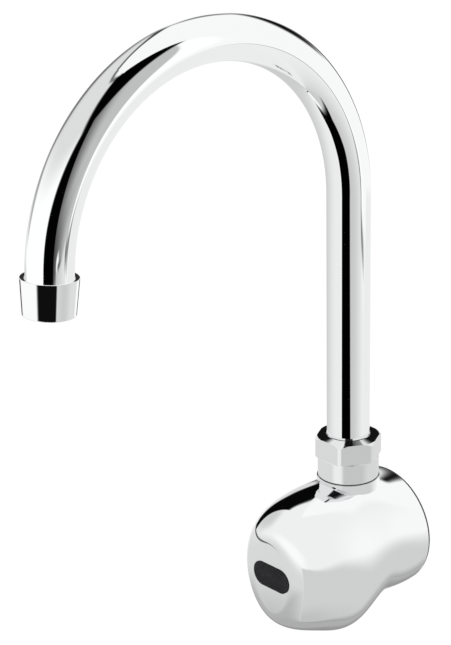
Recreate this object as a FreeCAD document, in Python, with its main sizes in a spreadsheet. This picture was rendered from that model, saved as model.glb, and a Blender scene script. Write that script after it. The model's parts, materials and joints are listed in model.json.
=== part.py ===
"""Wall-mounted sensor tap with a swivelling gooseneck spout, millimetres, +Z up.

The origin is the centre of the mounting plate on the wall, +Y points into the wall and the spout
reaches out along -Y.
"""
import FreeCAD, Part

import math
import os
import re

import Sketcher

doc = FreeCAD.newDocument("sensor_tap")
sheet = doc.addObject("Spreadsheet::Sheet", "sizes")

# ------------------------------------------------------------------ driving sizes

SIZES = [
    # where the riser stands, and the seal between the casting and the wall
    ("wall_to_riser", 22.5),
    ("wall_gasket_thickness", 1.2),
    ("wall_gasket_inset", 0.5),
    # the casting: a spline skin drawn by seven upright ovals between the wall and the sensor face
    ("rim_width", 49.8), ("rim_top", 24.9), ("rim_bottom", 24.9),
    ("drum_depth", 9.0), ("drum_width", 51.0), ("drum_top", 27.4), ("drum_bottom", 26.2),
    ("waist_depth", 20.0), ("waist_width", 49.8), ("waist_top", 28.9), ("waist_bottom", 21.6),
    ("chin_depth", 32.0), ("chin_width", 50.0), ("chin_top", 28.6), ("chin_bottom", 38.0),
    ("brow_depth", 46.0), ("brow_width", 51.2), ("brow_top", 28.6), ("brow_bottom", 31.3),
    ("face_depth", 65.4),
    ("corner_width", 39.2), ("corner_top", 22.9), ("corner_bottom", 24.9),
    ("flat_width", 17.0), ("flat_top", 10.7), ("flat_bottom", 17.6),
    ("casting_wall", 3.2),
    ("face_wall", 4.4),
    ("bore_depth", 46.0),
    ("bore_end_diameter", 26.0),
    ("chin_pocket_place", 37.0),
    ("chin_pocket_mouth", 30.0),
    ("chin_pocket_mouth_drop", 14.0),
    ("chin_pocket_floor", 16.0),
    ("chin_pocket_cover", 8.5),
    # the neck seat on top of the casting
    ("seat_rise", 0.3),
    ("seat_step", 0.35),
    ("seat_depth", 9.7),
    # the neck between the casting and the nut
    ("neck_gasket_thickness", 0.5),
    ("collar_step", 1.5),
    ("collar_height", 8.4),
    ("collar_edge", 0.3),
    ("stub_step", 0.45),
    ("stub_height", 4.2),
    ("shank_wall", 2.0),
    ("shank_length", 20.5),
    ("waterway_diameter", 10.0),
    # the foot of the spout that turns in the neck
    ("spigot_step", 1.1225),
    ("spigot_length", 20.0),
    ("spigot_wall", 2.45),
    ("flange_step", 1.7275),
    ("flange_thickness", 1.5),
    ("socket_length", 8.0),
    ("slip_washer_thickness", 0.6),
    ("o_ring_section", 1.8),
    ("o_ring_groove_width", 2.3),
    ("o_ring_top_drop", 5.0),
    ("o_ring_spacing", 6.0),
    # the nut
    ("nut_wall", 1.25),
    ("nut_corner_step", 1.45),
    ("nut_lip", 1.3),
    ("nut_top_step", 0.5),
    ("nut_top_drop", 0.8),
    ("nut_cone_rise", 0.8),
    # the bent tube
    ("tube_diameter", 17.145),
    ("tube_wall", 1.4),
    ("riser_length", 102.55),
    ("bend_radius", 72.0),
    ("bend_angle", 176.0),
    ("tail_length", 11.0),
    # the outlet
    ("outlet_top_wall", 1.8775),
    ("outlet_bottom_wall", 1.55),
    ("outlet_grip", 7.7),
    ("outlet_edge", 0.5),
    ("outlet_lip_height", 1.0),
    ("outlet_lip_width", 0.8),
    ("outlet_washer_thickness", 1.2),
    ("regulator_thickness", 1.2),
    ("regulator_hole", 2.2),
    ("regulator_circle", 8.0),
    ("regulator_count", 4),
    ("former_step", 0.6725),
    ("former_height", 2.4),
    ("former_hole", 3.2),
    ("former_circle", 9.0),
    ("former_count", 6),
    # the water elbow inside the casting
    ("elbow_hub_wall", 2.8),
    ("elbow_pipe_diameter", 19.6),
    ("elbow_hub_bottom", 4.5),
    ("elbow_hub_step", 1.5),
    ("elbow_seal_thickness", 1.0),
    ("elbow_recess", 1.0),
    ("elbow_floor_edge", 4.0),
    ("inlet_bore", 14.95),
    ("inlet_thread_length", 10.0),
    ("screen_thickness", 1.5),
    ("screen_diameter", 13.6),
    ("screen_hole", 2.6),
    ("screen_circle", 8.0),
    ("screen_count", 6),
    # the wall plate
    ("plate_web", 3.5),
    ("plate_skirt_depth", 9.0),
    ("plate_skirt_wall", 3.0),
    ("plate_screw_circle", 28.0),
    ("plate_screw_hole", 4.4),
    ("plate_screw_count", 3),
    ("plate_sink_width", 7.4),
    ("plate_sink_depth", 1.2),
    ("plate_groove_depth", 0.8),
    ("plate_groove_width", 5.6),
    ("plate_edge", 0.5),
    ("set_screw_diameter", 4.9),
    ("set_screw_place", 5.2),
    ("set_screw_thread_length", 8.0),
    ("set_screw_socket", 2.5),
    ("set_screw_socket_depth", 1.8),
    ("set_screw_sink", 0.3),
    # the lead's grommet
    ("grommet_place", 14.3),
    ("grommet_diameter", 5.4),
    ("grommet_bore", 3.2),
    ("grommet_flange", 7.6),
    ("grommet_flange_thickness", 1.2),
    ("grommet_recess", 0.3),
    # the sensor's window
    ("window_drop", 2.1),
    ("window_width", 20.6),
    ("window_height", 10.5),
    ("window_thickness", 1.8),
    ("window_proud", 0.1),
    ("window_edge", 0.3),
    ("window_gasket_thickness", 0.5),
    ("window_ledge", 1.7),
    # the sensor behind the window
    ("block_width", 22.0),
    ("block_height", 12.0),
    ("block_depth", 10.9),
    ("block_nose_gap", 0.2),
    ("diode_diameter", 5.0),
    ("diode_spacing", 8.6),
    ("diode_length", 8.6),
    ("diode_flange", 5.8),
    ("diode_flange_thickness", 1.0),
    ("diode_dome", 2.2),
    ("board_width", 20.0),
    ("board_height", 10.6),
    ("board_thickness", 1.6),
    ("clamp_post_spacing", 28.4),
    ("clamp_post_diameter", 6.0),
    ("clamp_height", 8.0),
    ("clamp_thickness", 1.6),
    ("clamp_screw_diameter", 2.9),
    ("clamp_screw_length", 8.0),
    ("clamp_head_diameter", 5.6),
    ("clamp_head_height", 2.0),
    ("clamp_head_edge", 0.7),
    ("clamp_socket", 2.0),
    ("clamp_socket_depth", 1.2),
    # clearances
    ("register_gap", 0.2),
    ("thread_gap", 0.1),
    ("slip_gap", 0.05),
    ("running_gap", 0.05),
    ("turning_gap", 0.3),
    ("seat_gap", 0.15),
    ("hub_gap", 0.4),
]

for row, (alias, number) in enumerate(SIZES, start=1):
    sheet.set(f"A{row}", alias)
    sheet.set(f"B{row}", str(number))
    sheet.setAlias(f"B{row}", alias)
doc.recompute()

ALIASES = {alias for alias, number in SIZES}


def formula(text):
    """Point every size named in the text at its cell."""
    def cell(word):
        return "sizes." + word[0] if word[0] in ALIASES else word[0]

    return re.sub(r"[a-z_]+", cell, text)


def value(text):
    """What a formula comes to, as a plain number."""
    result = sheet.evalExpression(formula(text))
    return float(getattr(result, "Value", result))


# ------------------------------------------------------------------ shared places, as formulas

RISER_Y = "-wall_to_riser"
BORE_RADIUS = "(rim_width / 2 - casting_wall)"
PLATE_RADIUS = f"({BORE_RADIUS} - register_gap)"
SEAT_Z = "(waist_top + seat_rise)"
COLLAR_BOTTOM_Z = f"({SEAT_Z} + neck_gasket_thickness)"
COLLAR_TOP_Z = f"({COLLAR_BOTTOM_Z} + collar_height)"
STUB_TOP_Z = f"({COLLAR_TOP_Z} + stub_height)"
FLANGE_BOTTOM_Z = f"({STUB_TOP_Z} + slip_washer_thickness + slip_gap)"
TUBE_BOTTOM_Z = f"({FLANGE_BOTTOM_Z} + flange_thickness)"
NUT_SHOULDER_Z = f"({TUBE_BOTTOM_Z} + slip_gap + slip_washer_thickness)"
NUT_TOP_Z = f"({NUT_SHOULDER_Z} + nut_lip)"
SHANK_BOTTOM_Z = f"({COLLAR_BOTTOM_Z} - shank_length)"
HUB_TOP_Z = f"({SEAT_Z} - seat_depth)"
HUB_FLOOR_Z = f"({SHANK_BOTTOM_Z} - elbow_seal_thickness)"
SPIGOT_DIAMETER = "(tube_diameter - 2 * spigot_step)"
SPIGOT_BORE = f"({SPIGOT_DIAMETER} - 2 * spigot_wall)"
NECK_BORE = f"({SPIGOT_DIAMETER} + 2 * running_gap)"
SHANK_DIAMETER = f"({NECK_BORE} + 2 * shank_wall)"
ELBOW_HUB_DIAMETER = f"({SHANK_DIAMETER} + 2 * elbow_hub_wall)"
FLANGE_DIAMETER = "(tube_diameter + 2 * flange_step)"
STUB_DIAMETER = f"({FLANGE_DIAMETER} + 2 * stub_step)"
COLLAR_DIAMETER = f"({STUB_DIAMETER} + 2 * collar_step)"
SEAT_DIAMETER = f"({COLLAR_DIAMETER} + 2 * seat_step)"
NUT_FLATS = f"({STUB_DIAMETER} + 2 * nut_wall)"
NUT_CORNERS = f"({NUT_FLATS} + 2 * nut_corner_step)"
NUT_TOP_DIAMETER = f"({NUT_FLATS} + 2 * nut_top_step)"
TUBE_BORE = "(tube_diameter - 2 * tube_wall)"
FORMER_DIAMETER = "(tube_diameter - 2 * former_step)"
OUTLET_TOP_DIAMETER = "(tube_diameter + 2 * outlet_top_wall)"
OUTLET_BOTTOM_DIAMETER = f"({FORMER_DIAMETER} + 2 * outlet_bottom_wall)"
OUTLET_LIP_BORE = f"({FORMER_DIAMETER} - 2 * outlet_lip_width)"

RISER_TOP_Z = f"({TUBE_BOTTOM_Z} + riser_length)"
OUTLET_Y = "(-wall_to_riser - bend_radius * (1 - cos(bend_angle)) - tail_length * sin(bend_angle))"
OUTLET_Z = f"({RISER_TOP_Z} + bend_radius * sin(bend_angle) + tail_length * cos(bend_angle))"
INSERT_TOP = "(-outlet_washer_thickness)"
REGULATOR_BOTTOM = f"({INSERT_TOP} - regulator_thickness)"
FORMER_BOTTOM = f"({REGULATOR_BOTTOM} - former_height)"
OUTLET_BOTTOM = f"({FORMER_BOTTOM} - outlet_lip_height)"

FACE_Y = "(-face_depth)"
RECESS_DEPTH = "(window_thickness + window_gasket_thickness - window_proud)"
LEDGE_Y = f"({FACE_Y} + {RECESS_DEPTH})"
FACE_INSIDE_Y = "(-face_depth + face_wall)"
DIODE_NOSE_Y = f"({FACE_Y} - window_proud + window_thickness + block_nose_gap)"
DIODE_FLANGE_Y = f"({DIODE_NOSE_Y} + diode_length - diode_flange_thickness)"
BLOCK_REAR_Y = f"({FACE_INSIDE_Y} + block_depth)"
BOARD_REAR_Y = f"({BLOCK_REAR_Y} + board_thickness)"
CLAMP_REAR_Y = f"({BOARD_REAR_Y} + clamp_thickness)"
POST_LENGTH = f"({BOARD_REAR_Y} - {FACE_INSIDE_Y} - board_thickness / 2)"
CLAMP_PLACES = ("-clamp_post_spacing / 2", "clamp_post_spacing / 2")
DIODE_PLACES = ("-diode_spacing / 2", "diode_spacing / 2")
OPENING_WIDTH = "(window_width - 2 * window_ledge)"
OPENING_HEIGHT = "(window_height - 2 * window_ledge)"
LENS_WIDTH = "(window_width - 2 * seat_gap)"
LENS_HEIGHT = "(window_height - 2 * seat_gap)"


# ------------------------------------------------------------------ modelling helpers

def new_body(label, x="0", y="0", z="0"):
    """An empty body whose own origin is put at the given place."""
    body = doc.addObject("PartDesign::Body", label)
    body.Label = label
    for axis, place in zip("xyz", (x, y, z)):
        body.setExpression(f"Placement.Base.{axis}", formula(place))
    return body


def at_outlet(label):
    """A body whose own Z axis runs up the tube's end, with the end of the tube at its origin."""
    body = new_body(label, "0", OUTLET_Y, OUTLET_Z)
    lean = FreeCAD.Rotation(FreeCAD.Vector(-1, 0, 0), value("180 - bend_angle"))
    body.Placement = FreeCAD.Placement(FreeCAD.Vector(0, value(OUTLET_Y), value(OUTLET_Z)), lean)
    body.setExpression("Placement.Rotation.Angle", formula("180 - bend_angle"))
    return body


def origin_part(body, role):
    return next(part for part in body.Origin.OriginFeatures if part.Role == role)


def new_sketch(body, name, plane, offset="0"):
    """A sketch on one of the body's own planes, moved along that plane's normal."""
    sketch = body.newObject("Sketcher::SketchObject", name)
    sketch.AttachmentSupport = [(origin_part(body, plane), "")]
    sketch.MapMode = "FlatFace"
    sketch.setExpression("AttachmentOffset.Base.z", formula(offset))
    return sketch


def hold(sketch, kind, geometry, point, place):
    """Hold one point of a sketch at a distance from the sketch's origin."""
    held = sketch.addConstraint(Sketcher.Constraint(kind, -1, 1, geometry, point, value(place)))
    sketch.setExpression(f"Constraints[{held}]", formula(place))


def fix_point(sketch, geometry, point, across, up):
    hold(sketch, "DistanceX", geometry, point, across)
    hold(sketch, "DistanceY", geometry, point, up)


def fix_radius(sketch, geometry, radius):
    held = sketch.addConstraint(Sketcher.Constraint("Radius", geometry, value(radius)))
    sketch.setExpression(f"Constraints[{held}]", formula(radius))


def draw_outline(sketch, corners):
    """A closed outline of straight lines through (across, up) formulas."""
    points = [FreeCAD.Vector(value(across), value(up), 0) for across, up in corners]
    first = sketch.GeometryCount
    count = len(corners)
    for index in range(count):
        sketch.addGeometry(Part.LineSegment(points[index], points[(index + 1) % count]), False)
    for index in range(count):
        following = first + (index + 1) % count
        sketch.addConstraint(Sketcher.Constraint("Coincident", first + index, 2, following, 1))
    for index, (across, up) in enumerate(corners):
        fix_point(sketch, first + index, 1, across, up)


def draw_circle(sketch, radius, across="0", up="0"):
    centre = FreeCAD.Vector(value(across), value(up), 0)
    circle = sketch.addGeometry(Part.Circle(centre, FreeCAD.Vector(0, 0, 1), value(radius)), False)
    fix_point(sketch, circle, 3, across, up)
    fix_radius(sketch, circle, radius)


def draw_slot(sketch, width, height, up="0"):
    """An outline with half-round ends, lying across the sketch."""
    radius = value(height) / 2
    reach = value(width) / 2 - radius
    level = value(up)
    normal = FreeCAD.Vector(0, 0, 1)
    right = FreeCAD.Vector(reach, level, 0)
    left = FreeCAD.Vector(-reach, level, 0)
    rise = FreeCAD.Vector(0, radius, 0)
    quarter = math.pi / 2
    top = sketch.addGeometry(Part.LineSegment(left + rise, right + rise), False)
    low = sketch.addGeometry(Part.LineSegment(right - rise, left - rise), False)
    right_end = Part.ArcOfCircle(Part.Circle(right, normal, radius), -quarter, quarter)
    left_end = Part.ArcOfCircle(Part.Circle(left, normal, radius), quarter, 3 * quarter)
    right_arc = sketch.addGeometry(right_end, False)
    left_arc = sketch.addGeometry(left_end, False)
    sketch.addConstraint(Sketcher.Constraint("Tangent", top, 2, right_arc, 2))
    sketch.addConstraint(Sketcher.Constraint("Tangent", right_arc, 1, low, 1))
    sketch.addConstraint(Sketcher.Constraint("Tangent", low, 2, left_arc, 2))
    sketch.addConstraint(Sketcher.Constraint("Tangent", left_arc, 1, top, 1))
    fix_point(sketch, right_arc, 3, f"({width} - {height}) / 2", up)
    fix_point(sketch, left_arc, 3, f"({height} - {width}) / 2", up)
    fix_radius(sketch, right_arc, f"{height} / 2")
    fix_radius(sketch, left_arc, f"{height} / 2")


def draw_box(sketch, width, height, up="0"):
    draw_outline(sketch, [
        (f"-{width} / 2", f"{up} - {height} / 2"),
        (f"{width} / 2", f"{up} - {height} / 2"),
        (f"{width} / 2", f"{up} + {height} / 2"),
        (f"-{width} / 2", f"{up} + {height} / 2"),
    ])


def draw_hexagon(sketch, flats):
    """A hexagon of a given size across its flats, with two corners level across the sketch."""
    corners = []
    for index in range(6):
        angle = 60 * index
        corner = f"{flats} / 2 / cos(30)"
        corners.append((f"{corner} * cos({angle})", f"{corner} * sin({angle})"))
    draw_outline(sketch, corners)


def turned(body, name, corners, kind="Revolution", plane="XZ_Plane", axis="V_Axis", offset="0"):
    """Turn an outline of (across, up) formulas about one axis of its sketch."""
    sketch = new_sketch(body, name + "_outline", plane, offset)
    draw_outline(sketch, corners)
    feature = body.newObject("PartDesign::" + kind, name)
    feature.Profile = sketch
    feature.ReferenceAxis = (sketch, [axis])
    feature.Angle = 360
    return feature


def turned_along_y(body, name, corners, kind="Revolution"):
    """Turn an outline of (y, radius) formulas about the Y axis."""
    return turned(body, name, corners, kind, "YZ_Plane", "H_Axis")


def extruded(body, name, sketch, length, kind="Pad", reverse=False):
    feature = body.newObject("PartDesign::" + kind, name)
    feature.Profile = sketch
    feature.setExpression("Length", formula(length))
    feature.Reversed = reverse
    return feature


def repeated(body, name, feature, count, axis):
    """Repeat a feature in a ring about one of the body's axes."""
    ring = body.newObject("PartDesign::PolarPattern", name)
    ring.Originals = [feature]
    ring.Axis = (origin_part(body, axis), [""])
    ring.Angle = 360
    ring.setExpression("Occurrences", formula(count))
    body.Tip = ring


def foremost_edges(shape):
    """Names of the edges that lie flat against the shape's frontmost plane."""
    front = shape.BoundBox.YMin + 0.01
    return [f"Edge{number}" for number, edge in enumerate(shape.Edges, start=1) if edge.BoundBox.YMax < front]


def softened(body, name, base, edges, radius):
    """Round named edges of a feature."""
    feature = body.newObject("PartDesign::Fillet", name)
    feature.Base = (base, edges)
    feature.setExpression("Radius", formula(radius))


def flat_ring(label, inner, outer, bottom, top):
    """A flat ring about the riser's axis."""
    body = new_body(label, "0", RISER_Y, "0")
    turned(body, label + "_ring", [(inner, bottom), (outer, bottom), (outer, top), (inner, top)])


def drill_ring(body, label, plane, offset, depth, axis):
    """A hole in the middle and a ring of like holes, sized by the values named after the label."""
    centre = new_sketch(body, label + "_centre_sketch", plane, offset)
    draw_circle(centre, f"{label}_hole / 2")
    extruded(body, label + "_centre_hole", centre, depth, "Pocket")
    beside = new_sketch(body, label + "_ring_sketch", plane, offset)
    draw_circle(beside, f"{label}_hole / 2", f"{label}_circle / 2")
    first = extruded(body, label + "_ring_hole", beside, depth, "Pocket")
    repeated(body, label + "_holes", first, f"{label}_count", axis)


def holed_disc(node, label, bottom, top):
    """A disc with a ring of holes, lying in the outlet."""
    body = at_outlet(node)
    edge = f"{FORMER_DIAMETER} / 2"
    turned(body, label + "_disc", [("0", bottom), (edge, bottom), (edge, top), ("0", top)])
    drill_ring(body, label, "XY_Plane", top, f"{top} - {bottom}", "Z_Axis")


# ------------------------------------------------------------------ the casting

SECTIONS = (
    ("rim", "wall_gasket_thickness"),
    ("drum", "drum_depth"),
    ("waist", "waist_depth"),
    ("chin", "chin_depth"),
    ("brow", "brow_depth"),
    ("corner", "face_depth"),
    ("flat", "face_depth"),
)
OVAL_POLES = ((1, 0), (1, 1), (0, 1), (-1, 1), (-1, 0), (-1, -1), (0, -1), (1, -1), (1, 0))


def casting_skin():
    """One smooth surface: exact ovals across it, a cubic spline from the rim to the flat face."""
    poles = []
    weights = []
    for across, up in OVAL_POLES:
        row = []
        for name, depth in SECTIONS:
            half_width = value(f"{name}_width") / 2
            half_height = value(f"({name}_top + {name}_bottom) / 2")
            middle = value(f"({name}_top - {name}_bottom) / 2")
            height = middle + up * half_height
            row.append(FreeCAD.Vector(across * half_width, -value(depth), height))
        poles.append(row)
        weights.append([math.sqrt(0.5) if across and up else 1.0] * len(SECTIONS))
    spans = len(SECTIONS) - 3
    across_counts = [3, 2, 2, 2, 3]
    along_counts = [4] + [1] * (spans - 1) + [4]
    skin = Part.BSplineSurface()
    skin.buildFromPolesMultsKnots(
        poles, across_counts, along_counts, list(range(5)), list(range(spans + 1)),
        False, False, 2, 3, weights
    )
    return skin.toShape()


skin = casting_skin()
ends = [Part.Face(Part.Wire([edge])) for edge in skin.Edges if edge.isClosed()]
casting = Part.Shell([skin] + ends)
casting.sewShape()
casting_form = doc.addObject("Part::Feature", "casting_form")
casting_form.Shape = Part.Solid(casting)
body_shell = doc.addObject("PartDesign::Body", "body_shell")
body_shell.BaseFeature = casting_form
doc.recompute()

seat_sketch = new_sketch(body_shell, "seat_sketch", "XY_Plane", SEAT_Z)
draw_circle(seat_sketch, f"{SEAT_DIAMETER} / 2", "0", RISER_Y)
extruded(body_shell, "neck_seat", seat_sketch, "seat_depth", "Pad", True)

# the hollow: a round bore from the wall that tapers to the sensor face, and a pocket in the chin
turned_along_y(body_shell, "casting_bore", [
    ("0", "0"),
    ("0", BORE_RADIUS),
    ("-bore_depth", BORE_RADIUS),
    (FACE_INSIDE_Y, "bore_end_diameter / 2"),
    (FACE_INSIDE_Y, "0"),
], "Groove")
turned(body_shell, "chin_pocket", [
    ("0", "-chin_pocket_mouth_drop"),
    ("chin_pocket_mouth / 2", "-chin_pocket_mouth_drop"),
    ("chin_pocket_floor / 2", "chin_pocket_cover - chin_bottom"),
    ("0", "chin_pocket_cover - chin_bottom"),
], "Groove", offset="chin_pocket_place")

# the boss under the seat, faced off inside where the elbow is drawn up against it
boss_sketch = new_sketch(body_shell, "neck_boss_sketch", "XY_Plane", HUB_TOP_Z)
draw_circle(boss_sketch, f"{SEAT_DIAMETER} / 2", "0", RISER_Y)
extruded(body_shell, "neck_boss", boss_sketch, "seat_depth / 2")
facing_sketch = new_sketch(body_shell, "hub_facing_sketch", "XY_Plane", HUB_TOP_Z)
draw_circle(facing_sketch, f"{ELBOW_HUB_DIAMETER} / 2 + hub_gap", "0", RISER_Y)
extruded(body_shell, "hub_facing", facing_sketch, HUB_TOP_Z, "Pocket")
bore_sketch = new_sketch(body_shell, "neck_bore_sketch", "XY_Plane", SEAT_Z)
draw_circle(bore_sketch, f"{SHANK_DIAMETER} / 2 + register_gap", "0", RISER_Y)
extruded(body_shell, "neck_bore", bore_sketch, "seat_depth", "Pocket")

# two posts inside the face carry the sensor's clamp
post_sketch = new_sketch(body_shell, "clamp_post_sketch", "XZ_Plane", f"-{BOARD_REAR_Y}")
thread_sketch = new_sketch(body_shell, "clamp_thread_sketch", "XZ_Plane", f"-{BOARD_REAR_Y}")
for place in CLAMP_PLACES:
    draw_circle(post_sketch, "clamp_post_diameter / 2", place, "-window_drop")
    draw_circle(thread_sketch, "clamp_screw_diameter / 2 + slip_gap", place, "-window_drop")
extruded(body_shell, "clamp_posts", post_sketch, POST_LENGTH)
extruded(body_shell, "clamp_threads", thread_sketch, "clamp_screw_length", "Pocket", True)

# a flat inside the face for the sensor block, and the window's recess and opening outside
flat_sketch = new_sketch(body_shell, "block_flat_sketch", "XZ_Plane", f"-{BLOCK_REAR_Y}")
draw_box(flat_sketch, "(block_width + 2 * seat_gap)", "(block_height + 2 * seat_gap)", "-window_drop")
extruded(body_shell, "block_flat", flat_sketch, "block_depth", "Pocket", True)
recess_sketch = new_sketch(body_shell, "window_recess_sketch", "XZ_Plane", "face_depth")
draw_slot(recess_sketch, "window_width", "window_height", "-window_drop")
extruded(body_shell, "window_recess", recess_sketch, RECESS_DEPTH, "Pocket")
opening_sketch = new_sketch(body_shell, "window_opening_sketch", "XZ_Plane", "face_depth")
draw_slot(opening_sketch, OPENING_WIDTH, OPENING_HEIGHT, "-window_drop")
extruded(body_shell, "window_opening", opening_sketch, "face_wall", "Pocket")

# the thread for the set screw, from below
screw_thread_sketch = new_sketch(
    body_shell, "set_screw_sketch", "XY_Plane", "-rim_bottom - casting_wall"
)
draw_circle(screw_thread_sketch, "set_screw_diameter / 2 + slip_gap", "0", "-set_screw_place")
extruded(body_shell, "set_screw_thread", screw_thread_sketch, "set_screw_thread_length", "Pocket", True)

# ------------------------------------------------------------------ the wall plate and its fixings

wall_gasket = new_body("wall_gasket")
turned_along_y(wall_gasket, "gasket_ring", [
    ("0", BORE_RADIUS),
    ("0", "rim_width / 2 - wall_gasket_inset"),
    ("-wall_gasket_thickness", "rim_width / 2 - wall_gasket_inset"),
    ("-wall_gasket_thickness", BORE_RADIUS),
])

HUB_OPENING = "(elbow_pipe_diameter / 2 + hub_gap)"
GROOVE_RADIUS = f"({PLATE_RADIUS} - plate_groove_depth)"
GROOVE_REAR_Y = "(-set_screw_place + plate_groove_width / 2)"
GROOVE_FRONT_Y = "(-set_screw_place - plate_groove_width / 2)"
wall_plate = new_body("wall_plate")
turned_along_y(wall_plate, "plate_cup", [
    ("0", HUB_OPENING),
    ("0", PLATE_RADIUS),
    (GROOVE_REAR_Y, PLATE_RADIUS),
    (f"{GROOVE_REAR_Y} - plate_groove_depth", GROOVE_RADIUS),
    (f"{GROOVE_FRONT_Y} + plate_groove_depth", GROOVE_RADIUS),
    (GROOVE_FRONT_Y, PLATE_RADIUS),
    ("-plate_skirt_depth + plate_edge", PLATE_RADIUS),
    ("-plate_skirt_depth", f"{PLATE_RADIUS} - plate_edge"),
    ("-plate_skirt_depth", f"{PLATE_RADIUS} - plate_skirt_wall"),
    ("-plate_web", f"{PLATE_RADIUS} - plate_skirt_wall"),
    ("-plate_web", HUB_OPENING),
])
screw_sketch = new_sketch(wall_plate, "plate_screw_sketch", "XZ_Plane")
draw_circle(screw_sketch, "plate_screw_hole / 2", "0", "plate_screw_circle / 2")
screw_hole = extruded(wall_plate, "plate_screw_hole", screw_sketch, "plate_web", "Pocket", True)
repeated(wall_plate, "plate_screw_holes", screw_hole, "plate_screw_count", "Y_Axis")
sink_sketch = new_sketch(wall_plate, "plate_sink_sketch", "XZ_Plane", "plate_web")
draw_circle(sink_sketch, "plate_sink_width / 2", "0", "plate_screw_circle / 2")
screw_sink = extruded(wall_plate, "plate_screw_sink", sink_sketch, "plate_sink_depth", "Pocket")
repeated(wall_plate, "plate_screw_sinks", screw_sink, "plate_screw_count", "Y_Axis")
lead_sketch = new_sketch(wall_plate, "lead_hole_sketch", "XZ_Plane")
draw_circle(lead_sketch, "grommet_diameter / 2", "0", "-grommet_place")
extruded(wall_plate, "lead_hole", lead_sketch, "plate_web", "Pocket", True)

cable_grommet = new_body("cable_grommet", "0", "0", "-grommet_place")
turned_along_y(cable_grommet, "grommet_bush", [
    ("-grommet_recess", "grommet_bore / 2"),
    ("-grommet_recess", "grommet_diameter / 2"),
    ("-plate_web", "grommet_diameter / 2"),
    ("-plate_web", "grommet_flange / 2"),
    ("-plate_web - grommet_flange_thickness", "grommet_flange / 2"),
    ("-plate_web - grommet_flange_thickness", "grommet_bore / 2"),
])

SET_SCREW_TIP = f"(-{GROOVE_RADIUS})"
SET_SCREW_END = "(-rim_bottom + set_screw_sink)"
body_set_screw = new_body("body_set_screw", "0", "-set_screw_place", "0")
turned(body_set_screw, "set_screw_rod", [
    ("0", SET_SCREW_TIP),
    ("set_screw_diameter / 2 - plate_groove_depth", SET_SCREW_TIP),
    ("set_screw_diameter / 2", f"{SET_SCREW_TIP} - plate_groove_depth"),
    ("set_screw_diameter / 2", SET_SCREW_END),
    ("0", SET_SCREW_END),
])
key_sketch = new_sketch(body_set_screw, "set_screw_key_sketch", "XY_Plane", SET_SCREW_END)
draw_hexagon(key_sketch, "set_screw_socket")
extruded(body_set_screw, "set_screw_key", key_sketch, "set_screw_socket_depth", "Pocket", True)

# ------------------------------------------------------------------ the water elbow and the neck

ELBOW_MOUTH = "(wall_to_riser - elbow_recess)"
SCREEN_REAR = f"({ELBOW_MOUTH} - inlet_thread_length)"
SCREEN_FRONT = f"({SCREEN_REAR} - screen_thickness)"
water_elbow = new_body("water_elbow", "0", RISER_Y, "0")
turned(water_elbow, "elbow_hub", [
    ("0", "-elbow_pipe_diameter / 2"),
    ("elbow_pipe_diameter / 2 - elbow_floor_edge", "-elbow_pipe_diameter / 2"),
    ("elbow_pipe_diameter / 2", "-elbow_pipe_diameter / 2 + elbow_floor_edge"),
    ("elbow_pipe_diameter / 2", f"{HUB_FLOOR_Z} - elbow_hub_bottom"),
    (f"{ELBOW_HUB_DIAMETER} / 2", f"{HUB_FLOOR_Z} - elbow_hub_step"),
    (f"{ELBOW_HUB_DIAMETER} / 2", HUB_TOP_Z),
    ("0", HUB_TOP_Z),
])
turned_along_y(water_elbow, "elbow_pipe", [
    ("0", "0"),
    ("0", "elbow_pipe_diameter / 2"),
    (ELBOW_MOUTH, "elbow_pipe_diameter / 2"),
    (ELBOW_MOUTH, "0"),
])
turned_along_y(water_elbow, "elbow_inlet", [
    ("0", "0"),
    ("0", "waterway_diameter / 2"),
    (SCREEN_FRONT, "waterway_diameter / 2"),
    (SCREEN_FRONT, "screen_diameter / 2 + seat_gap"),
    (SCREEN_REAR, "screen_diameter / 2 + seat_gap"),
    (SCREEN_REAR, "inlet_bore / 2"),
    (ELBOW_MOUTH, "inlet_bore / 2"),
    (ELBOW_MOUTH, "0"),
], "Groove")
turned(water_elbow, "elbow_socket", [
    ("0", "0"),
    ("waterway_diameter / 2", "0"),
    ("waterway_diameter / 2", HUB_FLOOR_Z),
    (f"{SHANK_DIAMETER} / 2 + thread_gap", HUB_FLOOR_Z),
    (f"{SHANK_DIAMETER} / 2 + thread_gap", HUB_TOP_Z),
    ("0", HUB_TOP_Z),
], "Groove")

flat_ring("elbow_seal", "waterway_diameter / 2", f"{SHANK_DIAMETER} / 2", HUB_FLOOR_Z, SHANK_BOTTOM_Z)

inlet_screen = new_body("inlet_screen", "0", RISER_Y, "0")
turned_along_y(inlet_screen, "screen_disc", [
    (SCREEN_FRONT, "0"),
    (SCREEN_FRONT, "screen_diameter / 2"),
    (SCREEN_REAR, "screen_diameter / 2"),
    (SCREEN_REAR, "0"),
])
drill_ring(inlet_screen, "screen", "XZ_Plane", f"-{SCREEN_FRONT}", "screen_thickness", "Y_Axis")

flat_ring(
    "neck_gasket", f"{SHANK_DIAMETER} / 2 + register_gap", f"{COLLAR_DIAMETER} / 2", SEAT_Z, COLLAR_BOTTOM_Z
)

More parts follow.
